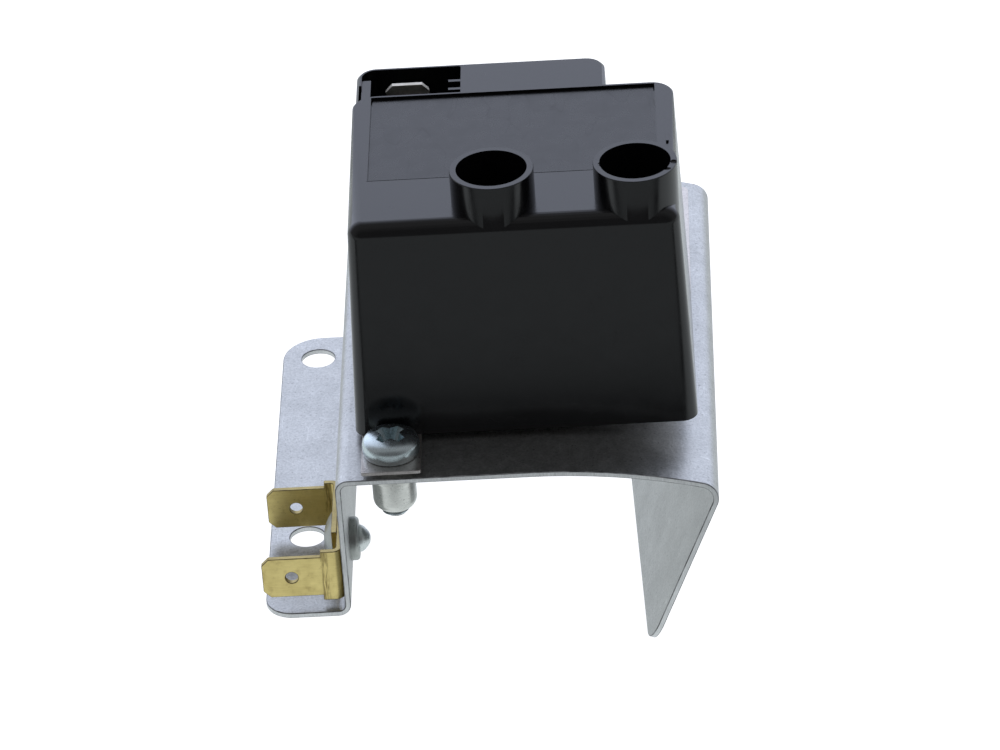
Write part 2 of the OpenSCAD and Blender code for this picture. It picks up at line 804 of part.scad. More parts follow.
// Room in the resin for the bobbin and its rod
module bobbin_space() {
    half = bobbin_len / 2 + gap;
    translate([coil_x - half, coil_y - flange_r - gap, board_hi - gap])
        cube([2 * half, 2 * (flange_r + gap), coil_z - board_hi + flange_r + 2 * gap]);
    on_coil_axis() translate([0, 0, -rod_len / 2 - gap]) cylinder(r = rod_r + gap, h = rod_len + 2 * gap);
}

// Box film capacitor on the board
module storage_capacitor() {
    color("#b5342c") capacitor_form(0);
}

module capacitor_form(grow) {
    translate([board_x0 + capacitor_at[0] - grow, board_y0 + capacitor_at[1] - grow, board_hi])
        cube(capacitor_size + [2 * grow, 2 * grow, grow]);
}

// Trigger diode in a half-round case
module trigger_diode() {
    color("#222222") trigger_form(0);
}

module trigger_form(grow) {
    r = trigger_r + grow;
    translate([board_x0 + trigger_at[0], board_y0 + trigger_at[1], board_hi]) intersection() {
        cylinder(r = r, h = trigger_h + grow);
        translate([-r, -r, 0]) cube([2 * r, r + trigger_flat + grow, trigger_h + 1]);
    }
}

// Body lying on the board along X, with a wire leg at each end
module lying_body(at, r, length, grow) {
    translate([board_x0 + at[0], board_y0 + at[1], board_hi]) {
        translate([-grow, 0, r]) rotate([0, 90, 0]) cylinder(r = r + grow, h = length + 2 * grow);
        for (s = [-1, 1]) translate([length / 2 + s * (length / 2 + wire_out), 0, 0]) {
            cylinder(r = wire_r + grow, h = r);
            translate([0, 0, r]) rotate([0, -90 * s, 0]) cylinder(r = wire_r + grow, h = wire_out + 0.2);
            translate([0, 0, r]) sphere(wire_r + grow, $fn = 24);
        }
    }
}

module rectifier_diode() {
    color("#1e1e1e") rectifier_form(0);
}

module rectifier_form(grow) {
    lying_body(rectifier_at, rectifier_r, rectifier_len, grow);
}

module series_resistor() {
    color("#7fa6b8") resistor_form(0);
}

module resistor_form(grow) {
    lying_body(resistor_at, resistor_r, resistor_len, grow);
}

// Two insulated leads from the contacts' pins to the outer windings
module high_voltage_leads() {
    color("#d9d9d2") leads_form(0);
}

module leads_form(grow) {
    from_y = tower_y + contact_pin_r + gap / 2;
    to_y = coil_y - flange_r - gap;
    for (x = tower_x) translate([x, to_y + grow, lead_z + lead_r]) rotate([90, 0, 0])
        cylinder(r = lead_r + grow, h = to_y - from_y + 2 * grow);
}

// Flat earth tab: riveted base, bend and blade; side is 1 in front and -1 behind
module earth_tab(layer, side) {
    x1 = web_x - layer * tab_t;
    bend_out = earth_bend_r + tab_t;
    blade_y = rivet_y - side * earth_reach;
    color("#a8914f") difference() {
        union() {
            // Base on the web, past the rivet by its tail
            y_in = blade_y + side * bend_out;
            y_out = rivet_y + side * earth_tail;
            translate([x1 - tab_t, min(y_in, y_out), rivet_z - earth_base_w / 2])
                cube([tab_t, abs(y_out - y_in), earth_base_w]);
            // Bend, turned about an upright axis
            translate([x1 - bend_out, y_in, rivet_z - earth_base_w / 2]) linear_extrude(earth_base_w)
                ring_slice(earth_bend_r, bend_out, 0, -side * 90);
            // Blade with its shoulder
            translate([0, side > 0 ? blade_y + tab_t : blade_y, 0]) rotate([90, 0, 0])
                linear_extrude(tab_t) blade_outline(x1 - bend_out);
        }
        translate([x1 - tab_t - 1, rivet_y, rivet_z]) rotate([0, 90, 0])
            cylinder(d = rivet_d + 0.1, h = tab_t + 2);
    }
}

// Outline of an earth tab's blade with its hole, from its bend at x out to the tip
module blade_outline(x) {
    w = tab_w / 2;
    base = earth_base_w / 2;
    neck = web_x - earth_neck;
    tip = neck - earth_len;
    difference() {
        translate([0, rivet_z]) polygon([[x, -base], [x, base], [neck, base], [neck, w], [tip + tab_tip, w],
            [tip, w - tab_tip], [tip, tab_tip - w], [tip + tab_tip, -w], [neck, -w], [neck, -base]]);
        translate([tip + tab_hole_in, rivet_z]) circle(d = tab_hole_d);
    }
}

module front_earth_tab() {
    earth_tab(0, 1);
}

module rear_earth_tab() {
    earth_tab(1, -1);
}

// Blind rivet through both tabs and the web
module earth_rivet() {
    color("#9ca39f")
    translate([web_x - 2 * tab_t, rivet_y, rivet_z]) rotate([0, 90, 0]) rotate_extrude() rivet_half();
}

// Half section of the rivet: domed head, shank and the bulb inside the web
module rivet_half() {
    through = 2 * tab_t + sheet_t;
    r = rivet_head_d / 2;
    dome = (r * r + rivet_head_h * rivet_head_h) / (2 * rivet_head_h);
    difference() {
        union() {
            intersection() {
                translate([0, dome - rivet_head_h]) circle(dome);
                translate([0, -rivet_head_h]) square([r, rivet_head_h]);
            }
            square([rivet_d / 2, through + eps]);
            translate([0, through]) square([bulb_d / 2 - bulb_edge, bulb_h]);
            translate([0, through]) square([bulb_d / 2, bulb_h - bulb_edge]);
            translate([bulb_d / 2, through + bulb_h] - bulb_edge * [1, 1]) circle(bulb_edge);
        }
        translate([-dome, -dome]) square([dome, 3 * dome]);
        translate([0, -rivet_head_h - 1]) square([mandrel_r, through + bulb_h + rivet_head_h + 2]);
    }
}

// Broken-off mandrel left in the rivet, with its rounded head inside the web
module rivet_mandrel() {
    color("#7d8588")
    translate([web_x + sheet_t + bulb_h, rivet_y, rivet_z]) rotate([0, 90, 0]) {
        rotate_extrude() intersection() {
            union() {
                square([mandrel_d / 2 - mandrel_edge, mandrel_h]);
                square([mandrel_d / 2, mandrel_h - mandrel_edge]);
                translate([mandrel_d / 2, mandrel_h] - mandrel_edge * [1, 1]) circle(mandrel_edge);
            }
            square([mandrel_d, mandrel_h]);
        }
        translate([0, 0, -2]) cylinder(r = mandrel_r - 0.05, h = 2 + eps);
    }
}

bracket();
mounting_plate();
rivet_nuts();
fixing_screws();
housing();
potting_compound();
left_contact();
right_contact();
line_tab();
neutral_tab();
circuit_board();
coil_bobbin();
ferrite_rod();
primary_winding();
secondary_windings();
storage_capacitor();
trigger_diode();
rectifier_diode();
series_resistor();
high_voltage_leads();
front_earth_tab();
rear_earth_tab();
earth_rivet();
rivet_mandrel();
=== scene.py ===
import math

import bmesh
import bpy
from mathutils import Matrix, Vector
from mathutils.bvhtree import BVHTree


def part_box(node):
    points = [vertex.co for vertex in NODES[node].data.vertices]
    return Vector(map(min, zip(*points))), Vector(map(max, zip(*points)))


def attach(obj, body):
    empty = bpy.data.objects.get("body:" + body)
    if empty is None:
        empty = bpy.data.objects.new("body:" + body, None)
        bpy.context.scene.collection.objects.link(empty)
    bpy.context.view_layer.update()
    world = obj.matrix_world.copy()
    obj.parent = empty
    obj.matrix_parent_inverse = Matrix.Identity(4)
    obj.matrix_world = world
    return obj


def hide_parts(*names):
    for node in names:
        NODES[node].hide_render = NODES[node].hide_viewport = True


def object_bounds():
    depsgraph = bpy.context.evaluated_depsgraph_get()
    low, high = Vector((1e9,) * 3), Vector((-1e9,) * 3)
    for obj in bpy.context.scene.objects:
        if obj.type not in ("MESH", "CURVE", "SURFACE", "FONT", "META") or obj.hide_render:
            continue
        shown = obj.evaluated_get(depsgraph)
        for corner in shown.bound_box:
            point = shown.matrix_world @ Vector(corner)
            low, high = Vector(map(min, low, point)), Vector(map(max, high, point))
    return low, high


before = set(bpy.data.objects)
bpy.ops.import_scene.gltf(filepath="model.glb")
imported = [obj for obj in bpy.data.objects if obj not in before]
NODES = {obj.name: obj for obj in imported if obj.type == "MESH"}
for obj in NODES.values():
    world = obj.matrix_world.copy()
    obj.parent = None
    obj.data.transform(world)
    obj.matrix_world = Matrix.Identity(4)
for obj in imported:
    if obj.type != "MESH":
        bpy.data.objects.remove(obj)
cad_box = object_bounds()
MM = 0.001


# Bracket: one strip of zinc-coated sheet, 0.8 mm thick, blanked and bent into a foot,
# an upright web, an arched plate and a leg that leans in under it. Its sheared edges are
# streaked, with painted shade as a dark line along their rounded corners, and the zinc has
# cloudy patches, specks and scratches.

def surface(name, metallic, roughness, base, ior=1.5):
    """A new material with plain values on its Principled shader."""
    material = bpy.data.materials.new(name)
    material.use_nodes = True
    shader = material.node_tree.nodes["Principled BSDF"]
    shader.inputs["Base Color"].default_value = (*base, 1.0)
    shader.inputs["Metallic"].default_value = metallic
    shader.inputs["Roughness"].default_value = roughness
    shader.inputs["IOR"].default_value = ior
    return material, shader


def millimetres(tree, start=(0.0, 0.0, 0.0)):
    """Places on the object in millimetres, counted from a starting place."""
    place = tree.nodes.new("ShaderNodeTexCoord")
    size = tree.nodes.new("ShaderNodeMapping")
    size.inputs["Scale"].default_value = (1000.0, 1000.0, 1000.0)
    size.inputs["Location"].default_value = start
    tree.links.new(place.outputs["Object"], size.inputs["Vector"])
    return size.outputs["Vector"]


def grain(tree, vector, per_mm, detail=2.0, rough=0.5, stretch=(1.0, 1.0, 1.0)):
    """Noise with so many turns per millimetre, stretched along the axes."""
    drawn = tree.nodes.new("ShaderNodeMapping")
    drawn.inputs["Scale"].default_value = stretch
    noise = tree.nodes.new("ShaderNodeTexNoise")
    noise.inputs["Scale"].default_value = per_mm
    noise.inputs["Detail"].default_value = detail
    noise.inputs["Roughness"].default_value = rough
    tree.links.new(vector, drawn.inputs["Vector"])
    tree.links.new(drawn.outputs["Vector"], noise.inputs["Vector"])
    return noise.outputs["Fac"]


# The range that nearly all values of the noise lie in.
NOISE_SPAN = (0.3, 0.7)


def between(tree, value, lowest, highest, low=0.0, high=1.0):
    """A value carried from one range to another."""
    step = tree.nodes.new("ShaderNodeMapRange")
    step.inputs["From Min"].default_value = lowest
    step.inputs["From Max"].default_value = highest
    step.inputs["To Min"].default_value = low
    step.inputs["To Max"].default_value = high
    tree.links.new(value, step.inputs["Value"])
    return step.outputs["Result"]


def blend(tree, value, first, second):
    """A colour between two others, each a plain colour or another blend."""
    mix = tree.nodes.new("ShaderNodeMix")
    mix.data_type = "RGBA"
    for socket, colour in ((mix.inputs["A"], first), (mix.inputs["B"], second)):
        if isinstance(colour, tuple):
            socket.default_value = (*colour, 1.0)
        else:
            tree.links.new(colour, socket)
    tree.links.new(value, mix.inputs["Factor"])
    return mix.outputs["Result"]


def sum_of(tree, first, second, operation="ADD"):
    """Two values joined by one step of arithmetic."""
    join = tree.nodes.new("ShaderNodeMath")
    join.operation = operation
    for socket, value in zip(join.inputs, (first, second)):
        if isinstance(value, float):
            socket.default_value = value
        else:
            tree.links.new(value, socket)
    return join.outputs["Value"]


def scratches(tree, vector, per_mm, stretch, width=0.012):
    """Thin lines, 1 on a line and 0 beside it."""
    lines = grain(tree, vector, per_mm, 1.0, 0.3, stretch)
    away = tree.nodes.new("ShaderNodeMath")
    away.operation = "ABSOLUTE"
    tree.links.new(sum_of(tree, lines, 0.5, "SUBTRACT"), away.inputs[0])
    return between(tree, away.outputs["Value"], 0.0, width, 1.0, 0.0)


def relief(tree, value, shader, depth):
    """Height in millimetres on the shader's normal."""
    bump = tree.nodes.new("ShaderNodeBump")
    bump.inputs["Strength"].default_value = 1.0
    bump.inputs["Distance"].default_value = depth * MM
    tree.links.new(value, bump.inputs["Height"])
    tree.links.new(bump.outputs["Normal"], shader.inputs["Normal"])


def sheet_metal(name, dark, light, roughness, start, relief_depth=0.003):
    """Plated sheet: cloudy patches, fine specks and a few scratches."""
    material, shader = surface(name, 0.87, 0.35, light)
    tree = material.node_tree
    vector = millimetres(tree, start)
    clouds = grain(tree, vector, 0.16, 3.0, 0.6)
    spots = grain(tree, vector, 0.9, 4.0, 0.7)
    specks = grain(tree, vector, 3.2, 2.0, 0.5)
    soft = sum_of(tree, between(tree, clouds, *NOISE_SPAN, 0.0, 0.3),
                  between(tree, spots, 0.34, 0.66, 0.0, 0.35))
    shade = sum_of(tree, soft, between(tree, specks, 0.34, 0.66, -0.05, 0.4))
    colour = blend(tree, shade, dark, light)
    pits = grain(tree, vector, 2.3, 2.0, 0.6)
    colour = blend(tree, between(tree, pits, 0.62, 0.72, 0.0, 0.6), colour, tuple(c * 0.5 for c in dark))
    lines = scratches(tree, vector, 0.5, (2.6, 0.35, 2.6))
    crossed = scratches(tree, vector, 0.35, (0.5, 2.4, 1.0), 0.008)
    lines = sum_of(tree, lines, crossed, "MAXIMUM")
    lines = sum_of(tree, lines, between(tree, clouds, 0.42, 0.6), "MULTIPLY")
    colour = blend(tree, sum_of(tree, lines, 0.45, "MULTIPLY"), colour, tuple(c * 1.3 for c in light))
    tree.links.new(colour, shader.inputs["Base Color"])
    tree.links.new(between(tree, spots, *NOISE_SPAN, *roughness), shader.inputs["Roughness"])
    bumps = sum_of(tree, spots, sum_of(tree, specks, 0.5, "MULTIPLY"))
    relief(tree, sum_of(tree, bumps, sum_of(tree, lines, -0.5, "MULTIPLY")), shader, relief_depth)
    return material


def sheared(name, dark, light, along):
    """A sheared edge: streaks across the sheet and soft patches along it."""
    material, shader = surface(name, 0.9, 0.45, light)
    tree = material.node_tree
    vector = millimetres(tree)
    streaks = grain(tree, vector, 3.0, 3.0, 0.6, along)
    patches = grain(tree, vector, 0.5, 2.0)
    shade = sum_of(tree, between(tree, streaks, *NOISE_SPAN, 0.0, 0.6),
                   between(tree, patches, *NOISE_SPAN, 0.0, 0.4))
    tree.links.new(blend(tree, shade, dark, light), shader.inputs["Base Color"])
    tree.links.new(between(tree, streaks, *NOISE_SPAN, 0.36, 0.55), shader.inputs["Roughness"])
    relief(tree, streaks, shader, 0.02)
    return material


def shaded_corner_line(name, colour):
    """A narrow dark line of painted shade along a sheared sheet's rounded corners."""
    material, shader = surface(name, 0.9, 0.5, colour)
    tree = material.node_tree
    patches = grain(tree, millimetres(tree), 0.8, 3.0)
    dark = tuple(c * 0.5 for c in colour)
    light = tuple(c * 1.5 for c in colour)
    colour = blend(tree, between(tree, patches, 0.35, 0.65), dark, light)
    tree.links.new(colour, shader.inputs["Base Color"])
    tree.links.new(between(tree, patches, *NOISE_SPAN, 0.4, 0.6), shader.inputs["Roughness"])
    relief(tree, patches, shader, 0.02)
    return material


def dress(node, material):
    """Gives a CAD node its finish."""
    piece = NODES[node]
    piece.data.materials.clear()
    piece.data.materials.append(material)


def in_scene(name, mesh):
    """A new object with this mesh, linked into the scene."""
    piece = bpy.data.objects.new(name, mesh)
    bpy.context.scene.collection.objects.link(piece)
    return piece


def true_flats(piece):
    """Shades the flat faces flat and leaves the turn to the rounded strips between them."""
    flats = piece.modifiers.new("true_flats", "WEIGHTED_NORMAL")
    flats.mode = "FACE_AREA_WITH_ANGLE"
    flats.keep_sharp = True


# Corners closer than this are one, rays start this deep, and faces that turn less are one flat.
WELD = 0.002
RAY_START = 0.02
FLAT_TURN = 0.4
SHARP_TURN = 40.0


def worked(node, name, materials, round_edge, thick=0.0, sharp=SHARP_TURN):
    """The node's piece again, with rounded edges and, in sheet, its sheared edges in their own finish."""
    mesh = NODES[node].data.copy()
    mesh.name = name
    mesh.materials.clear()
    for material in materials:
        mesh.materials.append(material)
    if "custom_normal" in mesh.attributes:
        mesh.attributes.remove(mesh.attributes["custom_normal"])
    form = bmesh.new()
    form.from_mesh(mesh)
    bmesh.ops.remove_doubles(form, verts=form.verts, dist=WELD * MM)
    form.normal_update()
    tree = BVHTree.FromBMesh(form)
    for face in form.faces:
        face.smooth = True
        face.material_index = 0
        if thick:
            middle = face.calc_center_median()
            start = middle - face.normal * RAY_START * MM
            hit = tree.ray_cast(start, -face.normal, 3 * thick * MM)
            if hit[0] is None or hit[3] > 1.5 * thick * MM:
                face.material_index = 1
    bmesh.ops.dissolve_limit(form, angle_limit=math.radians(FLAT_TURN), verts=form.verts, edges=form.edges,
                             delimit={"MATERIAL"})
    form.normal_update()
    for edge in form.edges:
        edge.smooth = not (edge.is_manifold and edge.calc_face_angle(0.0) > math.radians(sharp))
    form.to_mesh(mesh)
    form.free()
    piece = in_scene(name, mesh)
    if round_edge:
        bevel = piece.modifiers.new("rounded_edges", "BEVEL")
        bevel.width = round_edge * MM
        bevel.segments = 2
        bevel.limit_method = "ANGLE"
        bevel.angle_limit = math.radians(sharp)
        bevel.use_clamp_overlap = False
        bevel.harden_normals = True
        # The rounded edges take the third material where there is one: a dark line of painted shade.
        bevel.material = 2 if len(materials) == 3 else -1
        true_flats(piece)
    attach(piece, "root")
    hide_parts(node)
    return piece


SHEET_T = 0.8
SHEET_EDGE_R = 0.13
ZINC = sheet_metal("galvanised_sheet", (0.37, 0.38, 0.375), (0.62, 0.63, 0.625),
                   (0.33, 0.46), (3.0, 2.0, 1.0), 0.005)
ZINC_EDGE = sheared("sheared_zinc_edge", (0.58, 0.59, 0.595), (0.90, 0.91, 0.91), (2.0, 2.0, 0.3))
# A dark line of painted shade along the bracket's rounded corners.
ZINC_SHADE_LINE = shaded_corner_line("painted_shade_zinc_line", (0.30, 0.305, 0.31))
worked("bracket", "bent_bracket", (ZINC, ZINC_EDGE, ZINC_SHADE_LINE), SHEET_EDGE_R, SHEET_T)


# Rivet nuts: turned and zinc-plated steel, set in two holes of the plate and clinched below it,
# so that a flange stays on top. The long body below is drawn in towards its rounded end.

def turned(name, dark, light, roughness, stretch):
    """Turned and plated metal: fine rings round the axis and soft stains."""
    material, shader = surface(name, 1.0, 0.3, light)
    tree = material.node_tree
    vector = millimetres(tree, (5.0, 9.0, 0.0))
    rings_cut = grain(tree, vector, 6.0, 2.0, 0.5, stretch)
    stain = grain(tree, vector, 0.55, 3.0, 0.6)
    specks = grain(tree, vector, 4.0, 2.0)
    shade = sum_of(tree, between(tree, rings_cut, *NOISE_SPAN, 0.0, 0.35),
                   between(tree, stain, *NOISE_SPAN, 0.0, 0.65))
    colour = blend(tree, shade, dark, light)
    colour = blend(tree, between(tree, specks, 0.62, 0.75, 0.0, 0.6), colour, tuple(c * 0.4 for c in dark))
    tree.links.new(colour, shader.inputs["Base Color"])
    tree.links.new(between(tree, stain, *NOISE_SPAN, *roughness), shader.inputs["Roughness"])
    relief(tree, rings_cut, shader, 0.004)
    return material


ROUND_Z = (0.15, 0.15, 1.6)
NUT = turned("plated_nut", (0.53, 0.54, 0.51), (0.82, 0.82, 0.78), (0.24, 0.36), ROUND_Z)
worked("rivet_nuts", "clinched_rivet_nuts", (NUT,), 0.0)


# Mounting plate: thin plated sheet that lies on the flanges of the rivet nuts, under the housing.
# Its lug comes out in front, under the screw, and a narrow ledge shows at the right.

THIN_T = 0.5
THIN_EDGE_R = 0.06
PLATE = sheet_metal("plated_thin_sheet", (0.46, 0.435, 0.415), (0.65, 0.615, 0.585),
                    (0.26, 0.38), (40.0, 7.0, 0.0))
PLATE_EDGE = sheared("sheared_thin_edge", (0.36, 0.34, 0.33), (0.60, 0.57, 0.55), (2.0, 2.0, 0.6))
worked("mounting_plate", "thin_mounting_plate", (PLATE, PLATE_EDGE), THIN_EDGE_R, THIN_T)


# Housing: black plastic moulding with two towers, an open terminal bay and a sunk field on top.
# Its skin is glossy with a faint mottle. The field's floor is duller, with thin grooves round it
# where an insert was set in the mould, and the right tower's rim has small nicks.

def moulding(name, base, roughness, ior, start, relief_depth=0.006):
    """Moulded or cast material: a skin with a faint mottle, dust specks and fine scuffs."""
    material, shader = surface(name, 0.0, 0.25, base, ior)
    tree = material.node_tree
    vector = millimetres(tree, start)
    mottle = grain(tree, vector, 0.35, 3.0, 0.6)
    fine = grain(tree, vector, 2.4, 3.0, 0.6)
    dust = grain(tree, vector, 5.0, 1.0)
    colour = blend(tree, mottle, tuple(c * 0.8 for c in base), tuple(c * 1.2 for c in base))
    colour = blend(tree, between(tree, dust, 0.76, 0.84, 0.0, 0.5), colour, (0.05, 0.05, 0.055))
    tree.links.new(colour, shader.inputs["Base Color"])
    scuff = scratches(tree, vector, 0.25, (1.0, 0.3, 0.6), 0.006)
    rough = between(tree, mottle, *NOISE_SPAN, *roughness)
    rough = sum_of(tree, rough, sum_of(tree, scuff, 0.08, "MULTIPLY"))
    tree.links.new(rough, shader.inputs["Roughness"])
    height = sum_of(tree, sum_of(tree, fine, 0.35, "MULTIPLY"), mottle)
    relief(tree, height, shader, relief_depth)
    return material


BLACK_BASE = (0.0045, 0.0045, 0.0052)
BLACK = moulding("black_moulding", BLACK_BASE, (0.15, 0.22), 1.49, (1.0, 4.0, 8.0), 0.004)
ERODED = moulding("eroded_field", BLACK_BASE, (0.24, 0.33), 1.45, (1.0, 4.0, 8.0), 0.005)
MOULDED_SHARP = 32.0
housing = worked("housing", "moulded_housing", (BLACK, ERODED), 0.0, sharp=MOULDED_SHARP)

# The sunk field, the grooves at its sides and in front of it, and how far cuts reach above.
FIELD_X = (12.54, 52.56)
FIELD_Y = (-19.96, 3.46)
FIELD_Z = 55.9
TOP_Z = 56.3
GROOVE_WIDE = 0.16
GROOVE_DEEP = 0.2
GROOVE_FROM_WALL = 0.02
GROOVE_ENDS = (0.1, 0.3)
FRONT_GROOVE = (0.26, 0.12)
FRONT_GROOVE_DEEP = 0.14
FRONT_GROOVE_PAST = 0.1
CUT_ABOVE = (0.2, 0.3)
SAME_LEVEL = 0.05
# The fine line that the mould left down the front, near its left corner.
PANEL_LINE = ((11.285, -32.95, 53.79), (10.36, -33.9, 24.63))
PANEL_WIDE = 0.14
PANEL_DEEP = 0.24
# Place of each nick, its radius and its stretch along the axes; the last is the mark of the gate.
NICKS = (
    ((44.77, -27.47, 61.4), 0.42, (1.0, 1.6, 1.0)),
    ((53.70, -29.60, 61.4), 0.40, (1.5, 1.0, 1.0)),
    ((54.63, -27.78, 61.3), 0.45, (1.0, 1.3, 0.8)),
    ((32.5, -34.42, 25.1), 0.5, (2.4, 1.0, 1.2)),
)


def bar(form, low, high):
    """A straight bar between two corners, in millimetres."""
    middle = (Vector(low) + Vector(high)) / 2
    size = Vector(high) - Vector(low)
    place = Matrix.Translation(middle * MM) @ Matrix.Diagonal((*(size * MM), 1.0))
    bmesh.ops.create_cube(form, size=1.0, matrix=place)


def rod(form, start, end, wide, deep):
    """A thin straight bar from one point to another, in millimetres."""
    start, end = Vector(start), Vector(end)
    along = (end - start).normalized()
    side = Vector((1.0, 0.0, 0.0))
    side = (side - along * side.dot(along)).normalized()
    out = along.cross(side)
    turn = Matrix((side, out, along)).transposed().to_4x4()
    size = Matrix.Diagonal((wide * MM, deep * MM, (end - start).length * MM, 1.0))
    place = Matrix.Translation((start + end) / 2 * MM) @ turn @ size
    bmesh.ops.create_cube(form, size=1.0, matrix=place)


def take_away(piece, cuts):
    """Cuts a form out of a piece for good, and deletes the form."""
    mesh = bpy.data.meshes.new("cut_form")
    bmesh.ops.recalc_face_normals(cuts, faces=cuts.faces)
    cuts.to_mesh(mesh)
    cuts.free()
    form = in_scene("cut_form", mesh)
    cut = piece.modifiers.new("cut", "BOOLEAN")
    cut.operation = "DIFFERENCE"
    cut.solver = "EXACT"
    cut.object = form
    bpy.context.view_layer.update()
    done = piece.evaluated_get(bpy.context.evaluated_depsgraph_get())
    old = piece.data
    piece.data = bpy.data.meshes.new_from_object(done)
    piece.modifiers.clear()
    bpy.data.objects.remove(form)
    bpy.data.meshes.remove(old)


cuts = bmesh.new()
for x in (FIELD_X[0] + GROOVE_FROM_WALL, FIELD_X[1] - GROOVE_WIDE - GROOVE_FROM_WALL):
    bar(cuts, (x, FIELD_Y[0] + GROOVE_ENDS[0], FIELD_Z - GROOVE_DEEP),
        (x + GROOVE_WIDE, FIELD_Y[1] - GROOVE_ENDS[1], FIELD_Z + CUT_ABOVE[0]))
bar(cuts, (FIELD_X[0] - FRONT_GROOVE_PAST, FIELD_Y[0] - FRONT_GROOVE[0], TOP_Z - FRONT_GROOVE_DEEP),
    (FIELD_X[1] + FRONT_GROOVE_PAST, FIELD_Y[0] - FRONT_GROOVE[1], TOP_Z + CUT_ABOVE[1]))
rod(cuts, PANEL_LINE[0], PANEL_LINE[1], PANEL_WIDE, PANEL_DEEP)
take_away(housing, cuts)
for face in housing.data.polygons:
    middle = face.center / MM
    inside = FIELD_X[0] < middle.x < FIELD_X[1] and FIELD_Y[0] < middle.y < FIELD_Y[1]
    face.material_index = 1 if inside and abs(middle.z - FIELD_Z) < SAME_LEVEL else 0
for at, radius, stretch in NICKS:
    nick = bmesh.new()
    place = Matrix.Translation(Vector(at) * MM) @ Matrix.Diagonal((*stretch, 1.0))
    bmesh.ops.create_icosphere(nick, subdivisions=2, radius=radius * MM, matrix=place)
    take_away(housing, nick)
true_flats(housing)


# Potting: black casting resin, poured into the upturned housing round the circuit and set hard.
# It keeps damp out and the high voltage in, and ends level with the housing's lower rim.

RESIN = moulding("casting_resin", (0.016, 0.015, 0.014), (0.30, 0.45), 1.5, (20.0, 4.0, 8.0))
dress("potting_compound", RESIN)


# Earth tabs: stamped brass, two standard blades of 0.8 mm stacked on the web under one rivet.
# The brass is dull and a little stained, darker where it was sheared and bent, with painted shade as a
# dark line along its sheared corners.

def stamped(name, dark, light, stain, start, strip=None):
    """Stamped soft metal: rolling lines, dull patches and darker stains."""
    material, shader = surface(name, 1.0, 0.38, light)
    tree = material.node_tree
    vector = millimetres(tree, start)
    rolled = grain(tree, vector, 2.2, 2.0, 0.5, (0.25, 1.0, 2.4))
    patches = grain(tree, vector, 0.45, 3.0, 0.6)
    stains = grain(tree, vector, 0.8, 4.0, 0.65)
    specks = grain(tree, vector, 3.6, 2.0)
    shade = sum_of(tree, between(tree, patches, *NOISE_SPAN, 0.0, 0.7),
                   between(tree, rolled, *NOISE_SPAN, 0.0, 0.3))
    colour = blend(tree, shade, dark, light)
    colour = blend(tree, between(tree, stains, 0.55, 0.72, 0.0, 0.4), colour, stain)
    spotted = between(tree, specks, 0.66, 0.76, 0.0, 0.35)
    colour = blend(tree, spotted, colour, tuple(c * 0.4 for c in stain))
    if strip:
        split = tree.nodes.new("ShaderNodeSeparateXYZ")
        tree.links.new(millimetres(tree), split.inputs["Vector"])
        runs = grain(tree, vector, 1.6, 3.0, 0.6, (2.5, 1.0, 0.25))
        near_side = between(tree, split.outputs["X"], strip[0], strip[0] + 0.25)
        far_side = between(tree, split.outputs["X"], strip[1] - 0.3, strip[1], 1.0, 0.0)
        inside = sum_of(tree, near_side, far_side, "MULTIPLY")
        streaks = sum_of(tree, inside, between(tree, runs, 0.42, 0.6, 0.0, 0.85), "MULTIPLY")
        colour = blend(tree, streaks, colour, tuple(c * 0.6 for c in stain))
    tree.links.new(colour, shader.inputs["Base Color"])
    tree.links.new(between(tree, stains, *NOISE_SPAN, 0.30, 0.44), shader.inputs["Roughness"])
    relief(tree, sum_of(tree, rolled, sum_of(tree, patches, 1.5, "MULTIPLY")), shader, 0.006)
    return material


TAB_T = 0.8
TAB_EDGE_R = 0.1
STAIN_X = (2.9, 4.1)
BRASS = stamped("dull_brass", (0.68, 0.55, 0.22), (0.86, 0.715, 0.305), (0.46, 0.34, 0.13),
                (6.0, 3.0, 2.0), STAIN_X)
BRASS_EDGE = sheared("sheared_brass_edge", (0.34, 0.27, 0.115), (0.60, 0.50, 0.22), (2.0, 2.0, 2.0))
# A dark line of painted shade for the rounded corners of the tabs' sheared edges.
BRASS_SHADE_LINE = shaded_corner_line("painted_shade_brass_line", (0.34, 0.27, 0.12))
BRASS_SET = (BRASS, BRASS_EDGE, BRASS_SHADE_LINE)
worked("front_earth_tab", "front_brass_tab", BRASS_SET, TAB_EDGE_R, TAB_T)
worked("rear_earth_tab", "rear_brass_tab", BRASS_SET, TAB_EDGE_R, TAB_T)


# Blind rivet: aluminium body set through both tabs and the web, and the steel stem of its
# mandrel, broken off short in a tapered end. The set end is on the inner side of the web.

ROUND_X = (1.6, 0.15, 0.15)
ALUMINIUM = turned("rivet_aluminium", (0.35, 0.37, 0.35), (0.52, 0.54, 0.52), (0.34, 0.46), ROUND_X)
dress("earth_rivet", ALUMINIUM)
STEM = turned("broken_steel_stem", (0.56, 0.60, 0.59), (0.86, 0.90, 0.89), (0.30, 0.45), ROUND_X)
# Place along the stem and radius there, from its hidden end to the broken one.
STEM_HALF = ((0.0, 0.93), (2.0, 0.93), (2.0, 1.90), (2.25, 1.93), (2.5, 1.84), (2.8, 1.6), (3.1, 1.26),
             (3.35, 0.94), (3.5, 0.66), (3.58, 0.3))
STEM_SIDES = 36
STEM_SHARP = 45.0


def box_in_mm(node):
    """The two corners of a node's box, in millimetres."""
    return [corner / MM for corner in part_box(node)]


def skin(form, rings):
    """Faces from ring to ring, with the two ends closed."""
    count = len(rings[0])
    for low, high in zip(rings, rings[1:]):
        for k in range(count):
            form.faces.new((low[k], low[(k + 1) % count], high[(k + 1) % count], high[k]))
    form.faces.new(list(reversed(rings[0])))
    form.faces.new(rings[-1])


